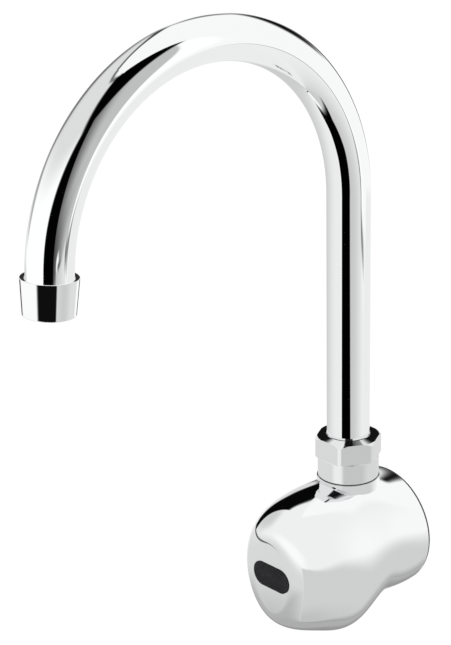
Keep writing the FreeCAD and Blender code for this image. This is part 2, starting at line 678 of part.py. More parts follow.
neck_adapter = new_body("neck_adapter", "0", RISER_Y, "0")
turned(neck_adapter, "neck_turning", [
    ("waterway_diameter / 2", SHANK_BOTTOM_Z),
    (f"{SHANK_DIAMETER} / 2", SHANK_BOTTOM_Z),
    (f"{SHANK_DIAMETER} / 2", COLLAR_BOTTOM_Z),
    (f"{COLLAR_DIAMETER} / 2 - collar_edge", COLLAR_BOTTOM_Z),
    (f"{COLLAR_DIAMETER} / 2", f"{COLLAR_BOTTOM_Z} + collar_edge"),
    (f"{COLLAR_DIAMETER} / 2", f"{COLLAR_TOP_Z} - collar_edge"),
    (f"{COLLAR_DIAMETER} / 2 - collar_edge", COLLAR_TOP_Z),
    (f"{STUB_DIAMETER} / 2", COLLAR_TOP_Z),
    (f"{STUB_DIAMETER} / 2", STUB_TOP_Z),
    (f"{NECK_BORE} / 2", STUB_TOP_Z),
    (f"{NECK_BORE} / 2", f"{FLANGE_BOTTOM_Z} - spigot_length - turning_gap"),
    ("waterway_diameter / 2", f"{FLANGE_BOTTOM_Z} - spigot_length - turning_gap"),
])

coupling_nut = new_body("coupling_nut", "0", RISER_Y, "0")
turned(coupling_nut, "nut_turning", [
    (f"{STUB_DIAMETER} / 2 + thread_gap", COLLAR_TOP_Z),
    (f"{NUT_CORNERS} / 2 - collar_edge", COLLAR_TOP_Z),
    (f"{NUT_CORNERS} / 2", f"{COLLAR_TOP_Z} + collar_edge"),
    (f"{NUT_CORNERS} / 2", f"{NUT_TOP_Z} - nut_top_drop"),
    (f"{NUT_TOP_DIAMETER} / 2", NUT_TOP_Z),
    ("tube_diameter / 2 + turning_gap", f"{NUT_TOP_Z} + nut_cone_rise"),
    ("tube_diameter / 2 + turning_gap", NUT_SHOULDER_Z),
    (f"{STUB_DIAMETER} / 2 + thread_gap", NUT_SHOULDER_Z),
])
CONE_TOP_Z = f"({NUT_TOP_Z} + nut_cone_rise)"
flats_sketch = new_sketch(coupling_nut, "nut_flats_sketch", "XY_Plane", CONE_TOP_Z)
draw_circle(flats_sketch, NUT_CORNERS)
draw_hexagon(flats_sketch, NUT_FLATS)
extruded(coupling_nut, "nut_six_flats", flats_sketch, f"{CONE_TOP_Z} - {COLLAR_TOP_Z}", "Pocket")

flat_ring(
    "slip_washer_lower", f"{NECK_BORE} / 2", f"{FLANGE_DIAMETER} / 2",
    STUB_TOP_Z, f"{STUB_TOP_Z} + slip_washer_thickness"
)
flat_ring(
    "slip_washer_upper", "tube_diameter / 2 + turning_gap", f"{FLANGE_DIAMETER} / 2",
    f"{NUT_SHOULDER_Z} - slip_washer_thickness", NUT_SHOULDER_Z
)

# ------------------------------------------------------------------ the sensor

sensor_window = new_body("sensor_window")
lens_sketch = new_sketch(sensor_window, "lens_sketch", "XZ_Plane", "face_depth + window_proud")
draw_slot(lens_sketch, LENS_WIDTH, LENS_HEIGHT, "-window_drop")
lens = extruded(sensor_window, "lens", lens_sketch, "window_thickness", "Pad", True)
doc.recompute()
softened(sensor_window, "lens_edge", lens, foremost_edges(lens.Shape), "window_edge")

window_gasket = new_body("window_gasket")
ring_sketch = new_sketch(window_gasket, "window_gasket_sketch", "XZ_Plane", f"-{LEDGE_Y}")
draw_slot(ring_sketch, LENS_WIDTH, LENS_HEIGHT, "-window_drop")
draw_slot(ring_sketch, OPENING_WIDTH, OPENING_HEIGHT, "-window_drop")
extruded(window_gasket, "window_gasket_ring", ring_sketch, "window_gasket_thickness")

sensor_housing = new_body("sensor_housing")
block_sketch = new_sketch(sensor_housing, "block_sketch", "XZ_Plane", f"-{BLOCK_REAR_Y}")
draw_box(block_sketch, "block_width", "block_height", "-window_drop")
extruded(sensor_housing, "sensor_block", block_sketch, "block_depth")
nose_sketch = new_sketch(sensor_housing, "nose_sketch", "XZ_Plane", f"-{FACE_INSIDE_Y}")
draw_slot(
    nose_sketch, f"({OPENING_WIDTH} - 2 * seat_gap)", f"({OPENING_HEIGHT} - 2 * seat_gap)", "-window_drop"
)
extruded(
    sensor_housing, "sensor_nose", nose_sketch,
    "face_wall - window_thickness + window_proud - block_nose_gap"
)
pocket_sketch = new_sketch(sensor_housing, "diode_pocket_sketch", "XZ_Plane", f"-{BLOCK_REAR_Y}")
barrel_sketch = new_sketch(sensor_housing, "diode_bore_sketch", "XZ_Plane", f"-{BLOCK_REAR_Y}")
for place in DIODE_PLACES:
    draw_circle(pocket_sketch, "diode_flange / 2 + slip_gap", place, "-window_drop")
    draw_circle(barrel_sketch, "diode_diameter / 2 + slip_gap", place, "-window_drop")
extruded(
    sensor_housing, "diode_pockets", pocket_sketch, f"{BLOCK_REAR_Y} - {DIODE_FLANGE_Y}", "Pocket", True
)
extruded(sensor_housing, "diode_bores", barrel_sketch, "block_depth + face_wall", "Pocket", True)


def diode(label, x):
    """A round-nosed diode lying along Y with its nose to the window."""
    body = new_body(label, x, DIODE_FLANGE_Y, "-window_drop")
    barrel = turned_along_y(body, label + "_barrel", [
        ("diode_flange_thickness", "0"),
        ("diode_flange_thickness", "diode_flange / 2"),
        ("0", "diode_flange / 2"),
        ("0", "diode_diameter / 2"),
        ("diode_flange_thickness - diode_length", "diode_diameter / 2"),
        ("diode_flange_thickness - diode_length", "0"),
    ])
    doc.recompute()
    softened(body, label + "_dome", barrel, foremost_edges(barrel.Shape), "diode_dome")


diode("ir_emitter", DIODE_PLACES[0])
diode("ir_receiver", DIODE_PLACES[1])

sensor_board = new_body("sensor_board")
board_sketch = new_sketch(sensor_board, "board_sketch", "XZ_Plane", f"-{BOARD_REAR_Y}")
draw_box(board_sketch, "board_width", "board_height", "-window_drop")
extruded(sensor_board, "board", board_sketch, "board_thickness")

sensor_clamp = new_body("sensor_clamp")
strap_sketch = new_sketch(sensor_clamp, "strap_sketch", "XZ_Plane", f"-{CLAMP_REAR_Y}")
draw_slot(strap_sketch, "(clamp_post_spacing + clamp_height)", "clamp_height", "-window_drop")
for place in CLAMP_PLACES:
    draw_circle(strap_sketch, "clamp_screw_diameter / 2 + seat_gap", place, "-window_drop")
extruded(sensor_clamp, "strap", strap_sketch, "clamp_thickness")


def clamp_screw(label, x):
    """A round-headed screw along Y with a socket in its head."""
    body = new_body(label, x, CLAMP_REAR_Y, "-window_drop")
    turned_along_y(body, label + "_rod", [
        ("clamp_head_height", "0"),
        ("clamp_head_height", "clamp_head_diameter / 2 - clamp_head_edge"),
        ("clamp_head_height - clamp_head_edge", "clamp_head_diameter / 2"),
        ("0", "clamp_head_diameter / 2"),
        ("0", "clamp_screw_diameter / 2"),
        ("-clamp_screw_length", "clamp_screw_diameter / 2"),
        ("-clamp_screw_length", "0"),
    ])
    socket_sketch = new_sketch(body, label + "_socket_sketch", "XZ_Plane", "-clamp_head_height")
    draw_hexagon(socket_sketch, "clamp_socket")
    extruded(body, label + "_socket", socket_sketch, "clamp_socket_depth", "Pocket", True)


clamp_screw("clamp_screw_left", CLAMP_PLACES[0])
clamp_screw("clamp_screw_right", CLAMP_PLACES[1])

# ------------------------------------------------------------------ the spout

gooseneck_tube = new_body("gooseneck_tube", "0", RISER_Y, TUBE_BOTTOM_Z)
end_sketch = new_sketch(gooseneck_tube, "tube_section", "XY_Plane")
draw_circle(end_sketch, "tube_diameter / 2")
draw_circle(end_sketch, f"{TUBE_BORE} / 2")
route = new_sketch(gooseneck_tube, "tube_route", "YZ_Plane")
turn = math.radians(value("bend_angle"))
spring = FreeCAD.Vector(0, value("riser_length"), 0)
bend_centre = spring - FreeCAD.Vector(value("bend_radius"), 0, 0)
bend_end = bend_centre + FreeCAD.Vector(math.cos(turn), math.sin(turn), 0) * value("bend_radius")
tail = FreeCAD.Vector(-math.sin(turn), math.cos(turn), 0) * value("tail_length")
bend_circle = Part.Circle(bend_centre, FreeCAD.Vector(0, 0, 1), value("bend_radius"))
riser_line = route.addGeometry(Part.LineSegment(FreeCAD.Vector(0, 0, 0), spring), False)
bend_arc = route.addGeometry(Part.ArcOfCircle(bend_circle, 0, turn), False)
tail_line = route.addGeometry(Part.LineSegment(bend_end, bend_end + tail), False)
route.addConstraint(Sketcher.Constraint("Coincident", riser_line, 1, -1, 1))
fix_point(route, riser_line, 2, "0", "riser_length")
route.addConstraint(Sketcher.Constraint("Coincident", riser_line, 2, bend_arc, 1))
fix_point(route, bend_arc, 3, "-bend_radius", "riser_length")
route.addConstraint(Sketcher.Constraint("Coincident", bend_arc, 2, tail_line, 1))
hold(route, "DistanceY", tail_line, 1, "riser_length + bend_radius * sin(bend_angle)")
fix_point(
    route, tail_line, 2,
    "-bend_radius * (1 - cos(bend_angle)) - tail_length * sin(bend_angle)",
    "riser_length + bend_radius * sin(bend_angle) + tail_length * cos(bend_angle)",
)
pipe = gooseneck_tube.newObject("PartDesign::AdditivePipe", "tube_sweep")
pipe.Profile = end_sketch
pipe.Spine = (route, [])

spout_sleeve = new_body("spout_sleeve", "0", RISER_Y, "0")
turned(spout_sleeve, "sleeve_turning", [
    (f"{SPIGOT_BORE} / 2", f"{FLANGE_BOTTOM_Z} - spigot_length"),
    (f"{SPIGOT_DIAMETER} / 2", f"{FLANGE_BOTTOM_Z} - spigot_length"),
    (f"{SPIGOT_DIAMETER} / 2", FLANGE_BOTTOM_Z),
    (f"{FLANGE_DIAMETER} / 2", FLANGE_BOTTOM_Z),
    (f"{FLANGE_DIAMETER} / 2", TUBE_BOTTOM_Z),
    (f"{TUBE_BORE} / 2 - slip_gap", TUBE_BOTTOM_Z),
    (f"{TUBE_BORE} / 2 - slip_gap", f"{TUBE_BOTTOM_Z} + socket_length"),
    (f"{SPIGOT_BORE} / 2", f"{TUBE_BOTTOM_Z} + socket_length"),
])


def o_ring(label, drop):
    """Cut a groove in the sleeve this far under the flange, and lay a ring in it."""
    middle = f"{FLANGE_BOTTOM_Z} - {drop}"
    floor = f"{SPIGOT_DIAMETER} / 2 - o_ring_section"
    turned(spout_sleeve, label + "_groove", [
        (floor, f"{middle} - o_ring_groove_width / 2"),
        (SPIGOT_DIAMETER, f"{middle} - o_ring_groove_width / 2"),
        (SPIGOT_DIAMETER, f"{middle} + o_ring_groove_width / 2"),
        (floor, f"{middle} + o_ring_groove_width / 2"),
    ], "Groove")
    corners = []
    for angle in (22.5, 67.5, 112.5, 157.5, 202.5, 247.5, 292.5, 337.5):
        across = f"{SPIGOT_DIAMETER} / 2 + o_ring_section / 2 * (cos({angle}) - 1)"
        corners.append((across, f"{middle} + o_ring_section / 2 * sin({angle})"))
    turned(new_body(label, "0", RISER_Y, "0"), label + "_ring", corners)


o_ring("spout_o_ring_upper", "o_ring_top_drop")
o_ring("spout_o_ring_lower", "(o_ring_top_drop + o_ring_spacing)")

outlet_shell = at_outlet("outlet_shell")
turned(outlet_shell, "shell_turning", [
    ("tube_diameter / 2 + slip_gap", "outlet_grip"),
    (f"{OUTLET_TOP_DIAMETER} / 2 - outlet_edge", "outlet_grip"),
    (f"{OUTLET_TOP_DIAMETER} / 2", "outlet_grip - outlet_edge"),
    (f"{OUTLET_BOTTOM_DIAMETER} / 2", f"{OUTLET_BOTTOM} + outlet_edge"),
    (f"{OUTLET_BOTTOM_DIAMETER} / 2 - outlet_edge", OUTLET_BOTTOM),
    (f"{OUTLET_LIP_BORE} / 2", OUTLET_BOTTOM),
    (f"{OUTLET_LIP_BORE} / 2", FORMER_BOTTOM),
    (f"{FORMER_DIAMETER} / 2 + slip_gap", FORMER_BOTTOM),
    (f"{FORMER_DIAMETER} / 2 + slip_gap", INSERT_TOP),
    ("tube_diameter / 2 + slip_gap", INSERT_TOP),
])

outlet_washer = at_outlet("outlet_washer")
turned(outlet_washer, "outlet_washer_ring", [
    (f"{TUBE_BORE} / 2 - tube_wall", INSERT_TOP),
    ("tube_diameter / 2", INSERT_TOP),
    ("tube_diameter / 2", "0"),
    (f"{TUBE_BORE} / 2 - tube_wall", "0"),
])

holed_disc("flow_regulator", "regulator", REGULATOR_BOTTOM, INSERT_TOP)
holed_disc("stream_former", "former", FORMER_BOTTOM, REGULATOR_BOTTOM)

# ------------------------------------------------------------------ check and write

NODES = [
    "body_shell", "wall_gasket", "wall_plate", "cable_grommet", "body_set_screw", "water_elbow",
    "elbow_seal", "inlet_screen", "neck_gasket", "neck_adapter", "coupling_nut",
    "slip_washer_lower", "slip_washer_upper", "sensor_window", "window_gasket", "sensor_housing",
    "ir_emitter", "ir_receiver", "sensor_board", "sensor_clamp", "clamp_screw_left",
    "clamp_screw_right", "gooseneck_tube", "spout_sleeve", "spout_o_ring_upper",
    "spout_o_ring_lower", "outlet_shell", "outlet_washer", "flow_regulator", "stream_former",
]

doc.recompute()
for item in doc.Objects:
    if "Invalid" in item.State or "Error" in item.State:
        raise RuntimeError(f"{item.Label} did not build: {item.State}")
os.makedirs("parts", exist_ok=True)
pieces = {name: doc.getObjectsByLabel(name)[0] for name in NODES}
for name, piece in pieces.items():
    if piece.Shape.isNull() or not piece.Shape.isValid() or len(piece.Shape.Solids) != 1:
        raise RuntimeError(f"{name} is not one sound solid")
for name, piece in pieces.items():
    piece.Shape.exportStep(f"parts/{name}.step")
    print(f"{name}: {piece.Shape.Volume:.1f} mm3")
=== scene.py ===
import json
import math

import bmesh
import bpy
from mathutils import Matrix, Vector


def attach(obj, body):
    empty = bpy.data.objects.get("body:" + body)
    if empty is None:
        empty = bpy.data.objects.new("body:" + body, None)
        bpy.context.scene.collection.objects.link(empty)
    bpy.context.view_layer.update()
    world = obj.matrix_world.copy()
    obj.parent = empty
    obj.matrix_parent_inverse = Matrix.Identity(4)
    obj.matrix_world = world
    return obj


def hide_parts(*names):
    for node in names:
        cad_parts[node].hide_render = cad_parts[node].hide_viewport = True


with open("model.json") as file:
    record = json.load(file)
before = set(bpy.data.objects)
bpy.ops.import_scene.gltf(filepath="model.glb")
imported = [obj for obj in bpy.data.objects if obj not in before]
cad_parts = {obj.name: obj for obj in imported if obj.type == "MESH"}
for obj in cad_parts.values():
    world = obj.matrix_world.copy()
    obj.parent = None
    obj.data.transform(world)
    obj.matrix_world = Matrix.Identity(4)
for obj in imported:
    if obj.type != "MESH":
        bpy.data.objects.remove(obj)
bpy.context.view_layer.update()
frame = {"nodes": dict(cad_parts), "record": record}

# ------------------------------------------------------------------ sizes, in millimetres and degrees

MM = 0.001
SHARP_ANGLE = 32
CUT_MARGIN = 1

# how finely round forms are drawn
ROUND_STEPS = 96
FINE_STEPS = 128
HOLE_STEPS = 48
TUBE_STEPS = 112
BEND_STEPS = 150

# the riser's axis, out from the wall
RISER_Y = -22.5

# the casting: its hollow, the seat for the neck, and the holes for the shank and the set screw
FACE_DEPTH = 65.4
BORE_RADIUS = 21.7
BORE_DEPTH = 46.0
BORE_END = 61.0
BORE_END_RADIUS = 13.0
BORE_OVERSHOOT = 0.1
SEAT_RADIUS = 12.6
SEAT_ROOT = 19.5
SEAT_Z = 29.2
SHANK_HOLE_RADIUS = 9.7
SHANK_HOLE_FROM = 10
SHANK_HOLE_TO = 40
SET_SCREW_RADIUS = 2.5
SET_SCREW_DEPTH = 5.2
SET_SCREW_FROM = -40
SET_SCREW_TO = -15

# the window, its recess, the ledge that it rests on and the opening behind that
WINDOW_DROP = 2.1
WINDOW_WIDTH = 20.6
WINDOW_HEIGHT = 10.5
WINDOW_RECESS = 2.2
WINDOW_LEDGE = 1.7
WINDOW_OPENING = 6
WINDOW_GAP = 0.15
WINDOW_PROUD = 0.1
WINDOW_BACK = 1.7

# the neck: its shank in the casting, its collar, and the stub that the nut is screwed on
WATERWAY_RADIUS = 5.0
SHANK_RADIUS = 9.5
SHANK_BOTTOM = 9.2
COLLAR_BOTTOM = 29.7
COLLAR_TOP = 38.1
COLLAR_RADIUS = 12.25
STUB_RADIUS = 10.75
STUB_TOP = 42.3
SOCKET_RADIUS = 7.5
SOCKET_FLOOR = 22.65

# the nut
NUT_SHOULDER = 45.1
NUT_TOP = 46.4
NUT_TOP_RADIUS = 12.5
NUT_TOP_DROP = 0.8
NUT_EDGE = 0.3
CONE_TOP = 47.2
NUT_CORNER = 13.45
NUT_FLAT = 12.0
NUT_MOUTH_GAP = 0.3
NUT_THREAD_GAP = 0.1
HEXAGON_FROM = 30
HEXAGON_HEIGHT = 20

# the ridge in the inlet
THREAD_PITCH = 1.814
THREAD_TURNS = 4
THREAD_STEPS = 48
THREAD_START = 0.75
THREAD_FOOT = 1.6
THREAD_ROOT_RADIUS = 7.6
THREAD_CREST_RADIUS = 6.95

# the spout's tube
TUBE_RADIUS = 8.5725
TUBE_BORE = 7.1725
TUBE_BOTTOM = 44.45
RISER_TOP = 147.0
BEND_RADIUS = 72.0
BEND_ANGLE = math.radians(176.0)
TAIL_LENGTH = 11.0

# the outlet's ring, by heights from the tube's end
OUTLET_TOP_RADIUS = 10.45
OUTLET_GRIP = 7.7
OUTLET_DISH = 0.45
OUTLET_BOTTOM_RADIUS = 9.45
OUTLET_MOUTH = -5.8
OUTLET_LIP_RADIUS = 7.1
OUTLET_LIP_HEIGHT = 1.0
OUTLET_BORE = 7.95
OUTLET_WASHER = -1.2
OUTLET_GAP = 0.05

# depth from the wall, full width, reach above and below the middle, from the wall rim to the sensor face
CASTING_OVALS = (
    (1.2, 49.8, 24.9, 24.9),
    (9.0, 51.0, 27.4, 26.2),
    (20.0, 49.8, 28.9, 21.6),
    (32.0, 50.0, 28.6, 38.0),
    (46.0, 51.2, 28.6, 31.3),
    (FACE_DEPTH, 39.2, 22.9, 24.9),
    (FACE_DEPTH, 17.0, 10.7, 17.6),
)
CASTING_DEGREE = 3
CASTING_KNOTS = (0, 0, 0, 0, 1, 2, 3, 4, 4, 4, 4)

# the end of the tube, and the frame that the outlet's pieces are turned in
TUBE_END = Vector((
    0,
    RISER_Y - BEND_RADIUS * (1 - math.cos(BEND_ANGLE)) - TAIL_LENGTH * math.sin(BEND_ANGLE),
    RISER_TOP + BEND_RADIUS * math.sin(BEND_ANGLE) + TAIL_LENGTH * math.cos(BEND_ANGLE),
))
ON_RISER = Matrix.Translation((0, RISER_Y, 0))
AT_OUTLET = Matrix.Translation(TUBE_END) @ Matrix.Rotation(BEND_ANGLE - math.pi, 4, "X")
ALONG_Y = Matrix.Rotation(math.radians(90), 4, "X")


# ------------------------------------------------------------------ mesh helpers

def corners_of(parts):
    return [part for part in parts if isinstance(part, bmesh.types.BMVert)]


def edges_of(parts):
    return [part for part in parts if isinstance(part, bmesh.types.BMEdge)]


def close_up(bm):
    """Merge seams and turn every face outwards."""
    bmesh.ops.remove_doubles(bm, verts=bm.verts[:], dist=1e-5)
    bmesh.ops.recalc_face_normals(bm, faces=bm.faces[:])


def turned(outline, steps=ROUND_STEPS):
    """A closed outline of (radius, height) turned about the upright axis."""
    bm = bmesh.new()
    points = [bm.verts.new((radius, 0, height)) for radius, height in outline]
    lines = [bm.edges.new((a, b)) for a, b in zip(points, points[1:] + points[:1])]
    bmesh.ops.spin(
        bm, geom=points + lines, cent=(0, 0, 0), axis=(0, 0, 1), dvec=(0, 0, 0),
        angle=2 * math.pi, steps=steps, use_merge=True, use_normal_flip=False, use_duplicate=False
    )
    close_up(bm)
    return bm


def open_ring(bm, radius, centre, steps):
    """A bare circle of edges, level, round a centre."""
    made = bmesh.ops.create_circle(
        bm, cap_ends=False, radius=radius, segments=steps, matrix=Matrix.Translation(centre)
    )
    return list({edge for vert in made["verts"] for edge in vert.link_edges})


def drawn_out(bm, edges, shift):
    """Extrude a loop of edges by a shift, and give the new loop."""
    made = bmesh.ops.extrude_edge_only(bm, edges=edges)["geom"]
    bmesh.ops.translate(bm, vec=shift, verts=corners_of(made))
    return edges_of(made)


def thickened(bm, shift):
    """Draw a flat face out by a shift into a closed block."""
    made = bmesh.ops.extrude_face_region(bm, geom=bm.faces[:])["geom"]
    bmesh.ops.translate(bm, vec=shift, verts=corners_of(made))
    close_up(bm)
    return bm


def slot_block(width, height, front, rear, steps=ROUND_STEPS):
    """A block with half-round ends, between two depths from the wall."""
    bm = bmesh.new()
    radius = height / 2
    reach = width / 2 - radius
    made = bmesh.ops.create_circle(bm, cap_ends=True, radius=radius, segments=steps)
    for vert in made["verts"]:
        vert.co.x += math.copysign(reach, vert.co.x) if abs(vert.co.x) > 1e-6 else 0
    place(bm, ALONG_Y)
    bmesh.ops.translate(bm, vec=(0, -front, -WINDOW_DROP), verts=bm.verts[:])
    return thickened(bm, (0, front - rear, 0))


def hexagon_block(flat, bottom, height):
    """A six-sided block round the riser's axis, by the reach of its flats."""
    bm = bmesh.new()
    corner = flat / math.cos(math.radians(30))
    bmesh.ops.create_circle(bm, cap_ends=True, radius=corner, segments=6)
    place(bm, Matrix.Rotation(math.radians(90), 4, "Z"))
    thickened(bm, (0, 0, height))
    return place(bm, Matrix.Translation((0, RISER_Y, bottom)))


def place(bm, matrix):
    """Move a whole mesh."""
    bmesh.ops.transform(bm, matrix=matrix, verts=bm.verts[:])
    return bm


def to_object(bm, name):
    """A mesh drawn in millimetres becomes an object in metres, smooth but for its sharp edges."""
    place(bm, Matrix.Scale(MM, 4))
    mesh = bpy.data.meshes.new(name)
    bm.to_mesh(mesh)
    bm.free()
    mesh.shade_smooth()
    mesh.set_sharp_from_angle(angle=math.radians(SHARP_ANGLE))
    thing = bpy.data.objects.new(name, mesh)
    bpy.context.scene.collection.objects.link(thing)
    return thing


def carve(thing, bm, operation="DIFFERENCE"):
    """Cut a closed mesh out of a piece, join the two, or keep what they share."""
    tool = to_object(bm, thing.name + "_tool")
    step = thing.modifiers.new("carve", "BOOLEAN")
    step.operation = operation
    step.solver = "EXACT"
    step.object = tool
    bpy.context.view_layer.update()
    worked_out = thing.evaluated_get(bpy.context.evaluated_depsgraph_get())
    shaped = bpy.data.meshes.new_from_object(worked_out)
    thing.modifiers.clear()
    thing.data = shaped
    bpy.data.objects.remove(tool)
    shaped.shade_smooth()
    shaped.set_sharp_from_angle(angle=math.radians(SHARP_ANGLE))


def soften(thing, width, segments=3, angle=SHARP_ANGLE):
    """Round a piece's sharp edges by a width in millimetres."""
    edge = thing.modifiers.new("edge", "BEVEL")
    edge.width = width * MM
    edge.segments = segments
    edge.limit_method = "ANGLE"
    edge.angle_limit = math.radians(angle)
    edge.harden_normals = True
    edge.miter_outer = "MITER_ARC"


def dress(thing, body, slot, finish, *nodes):
    """Put a piece on its body with its finish, in place of the plain solids it stands for."""
    thing.data.materials.clear()
    thing.data.materials.append(finish)
    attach(thing, body)
    if nodes:
        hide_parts(*nodes)


# ------------------------------------------------------------------ finishes

NOISE_LOW = 0.35
NOISE_HIGH = 0.65


def finish(name, colour, metallic=0.0, roughness=0.5, **sockets):
    """A material whose shader has these plain values. The functions below add its patterns."""
    made = bpy.data.materials.new(name)
    made.use_nodes = True
    shader = made.node_tree.nodes["Principled BSDF"]
    shader.inputs["Base Color"].default_value = (*colour, 1)
    shader.inputs["Metallic"].default_value = metallic
    shader.inputs["Roughness"].default_value = roughness
    for socket, number in sockets.items():
        shader.inputs[socket.replace("_", " ")].default_value = number
    return made


def node(made, kind, **values):
    """A new shader node, with values for its inputs or its settings."""
    new = made.node_tree.nodes.new(kind)
    for name, number in values.items():
        if name in new.inputs:
            new.inputs[name].default_value = number
        else:
            setattr(new, name, number)
    return new


def noise_on(made, scale, detail=3.0, stretch=(1, 1, 1)):
    """Noise over the object's own coordinates, in patches of about 1 / scale metre."""
    tree = made.node_tree
    where = node(made, "ShaderNodeTexCoord")
    size = node(made, "ShaderNodeMapping")
    size.inputs["Scale"].default_value = stretch
    cloud = node(made, "ShaderNodeTexNoise", Scale=scale, Detail=detail)
    tree.links.new(where.outputs["Object"], size.inputs["Vector"])
    tree.links.new(size.outputs["Vector"], cloud.inputs["Vector"])
    return cloud.outputs["Fac"]


def ranged(made, source, low, high):
    """Spread a noise's usual values over a new range."""
    step = node(made, "ShaderNodeMapRange")
    step.inputs["From Min"].default_value = NOISE_LOW
    step.inputs["From Max"].default_value = NOISE_HIGH
    step.inputs["To Min"].default_value = low
    step.inputs["To Max"].default_value = high
    made.node_tree.links.new(source, step.inputs["Value"])
    return step.outputs["Result"]


def rough_by(made, source, low, high):
    shader = made.node_tree.nodes["Principled BSDF"]
    made.node_tree.links.new(ranged(made, source, low, high), shader.inputs["Roughness"])


def tinted_by(made, source, first, second):
    shader = made.node_tree.nodes["Principled BSDF"]
    blend = node(made, "ShaderNodeMix", data_type="RGBA")
    colours = [socket for socket in blend.inputs if socket.type == "RGBA"]
    colours[0].default_value = (*first, 1)
    colours[1].default_value = (*second, 1)
    made.node_tree.links.new(ranged(made, source, 0, 1), blend.inputs["Factor"])
    result = [socket for socket in blend.outputs if socket.type == "RGBA"][0]
    made.node_tree.links.new(result, shader.inputs["Base Color"])


def bumped_by(made, source, strength, height):
    shader = made.node_tree.nodes["Principled BSDF"]
    bump = node(made, "ShaderNodeBump", Strength=strength, Distance=height * MM)
    made.node_tree.links.new(source, bump.inputs["Height"])
    made.node_tree.links.new(bump.outputs["Normal"], shader.inputs["Normal"])


chrome = finish("polished_chrome", (0.93, 0.935, 0.94), 1.0, 0.03)
rough_by(chrome, noise_on(chrome, 60, 4), 0.018, 0.045)

brass = finish("turned_brass", (0.78, 0.60, 0.30), 1.0, 0.28)
tinted_by(brass, noise_on(brass, 90, 5), (0.80, 0.62, 0.32), (0.66, 0.47, 0.22))
rough_by(brass, noise_on(brass, 240, 3), 0.22, 0.40)
bumped_by(brass, noise_on(brass, 2500, 2, (1, 1, 6)), 0.25, 0.02)

casting = finish("sand_cast_plate", (0.70, 0.58, 0.36), 1.0, 0.45)
tinted_by(casting, noise_on(casting, 120, 5), (0.72, 0.60, 0.38), (0.52, 0.42, 0.26))
rough_by(casting, noise_on(casting, 400, 4), 0.38, 0.6)
bumped_by(casting, noise_on(casting, 1600, 4), 0.5, 0.05)

seal = finish("black_seal", (0.03, 0.03, 0.03), 0.0, 0.62)
tinted_by(seal, noise_on(seal, 300, 4), (0.026, 0.026, 0.027), (0.05, 0.05, 0.05))
bumped_by(seal, noise_on(seal, 2600, 3), 0.3, 0.03)

washer = finish("slip_washer", (0.88, 0.87, 0.82), 0.0, 0.35)
tinted_by(washer, noise_on(washer, 200, 3), (0.89, 0.88, 0.83), (0.82, 0.81, 0.76))

screw_steel = finish("screw_steel", (0.55, 0.55, 0.56), 1.0, 0.3)
tinted_by(screw_steel, noise_on(screw_steel, 500, 4), (0.58, 0.58, 0.59), (0.44, 0.44, 0.46))
rough_by(screw_steel, noise_on(screw_steel, 900, 3), 0.22, 0.42)

screen_steel = finish("screen_steel", (0.62, 0.62, 0.62), 1.0, 0.32)
rough_by(screen_steel, noise_on(screen_steel, 700, 3, (1, 12, 1)), 0.24, 0.45)

smoked = finish("smoked_window", (0.012, 0.012, 0.014), 0.0, 0.12, Specular_IOR_Level=0.10)
tinted_by(smoked, noise_on(smoked, 180, 3), (0.012, 0.012, 0.014), (0.016, 0.016, 0.018))
rough_by(smoked, noise_on(smoked, 320, 4), 0.08, 0.16)

housing = finish("sensor_moulding", (0.04, 0.04, 0.045), 0.0, 0.5)
bumped_by(housing, noise_on(housing, 3000, 3), 0.25, 0.02)
tinted_by(housing, noise_on(housing, 260, 3), (0.038, 0.038, 0.043), (0.055, 0.055, 0.06))

clear_epoxy = finish("clear_epoxy", (0.75, 0.78, 0.82), 0.0, 0.08)
tinted_by(clear_epoxy, noise_on(clear_epoxy, 400, 2), (0.76, 0.79, 0.83), (0.66, 0.69, 0.74))
dark_epoxy = finish("dark_epoxy", (0.05, 0.03, 0.05), 0.0, 0.08)
tinted_by(dark_epoxy, noise_on(dark_epoxy, 400, 2), (0.05, 0.03, 0.05), (0.03, 0.02, 0.035))

board_green = finish("solder_mask", (0.03, 0.20, 0.09), 0.0, 0.3)
board_noise = noise_on(board_green, 900, 2, (1, 1, 8))
tinted_by(board_green, board_noise, (0.025, 0.17, 0.075), (0.05, 0.26, 0.12))

insert_white = finish("outlet_moulding", (0.82, 0.82, 0.80), 0.0, 0.4)
tinted_by(insert_white, noise_on(insert_white, 300, 3), (0.83, 0.83, 0.81), (0.76, 0.76, 0.74))

# the finish of each material slot, for the plain solids that stay in sight
SLOT_FINISH = {
    "polished_chrome": chrome,
    "brass_waterway": brass,
    "plate_casting": casting,
    "black_seal": seal,
    "slip_washer": washer,
    "screw_steel": screw_steel,
    "screen_steel": screen_steel,
    "window_plastic": smoked,
    "sensor_plastic": housing,
    "clear_diode": clear_epoxy,
    "dark_diode": dark_epoxy,
    "circuit_board": board_green,
    "outlet_plastic": insert_white,
}
for entry in frame["record"]["subparts"]:
    solid = frame["nodes"][entry["node"]]
    solid.data.materials.clear()
    solid.data.materials.append(SLOT_FINISH[entry["material_slot"]])


# ------------------------------------------------------------------ the casting

def spline(numbers, along):
    """A point along the smooth curve that the section sizes steer."""
    last = len(CASTING_KNOTS) - CASTING_DEGREE - 2
    span = min(CASTING_DEGREE + int(along), last)
    row = [numbers[span - CASTING_DEGREE + index] for index in range(CASTING_DEGREE + 1)]
    for level in range(1, CASTING_DEGREE + 1):
        for index in range(CASTING_DEGREE, level - 1, -1):
            low = CASTING_KNOTS[span - CASTING_DEGREE + index]
            high = CASTING_KNOTS[span + 1 + index - level]
            share = (along - low) / (high - low)
            row[index] = (1 - share) * row[index - 1] + share * row[index]
    return row[CASTING_DEGREE]


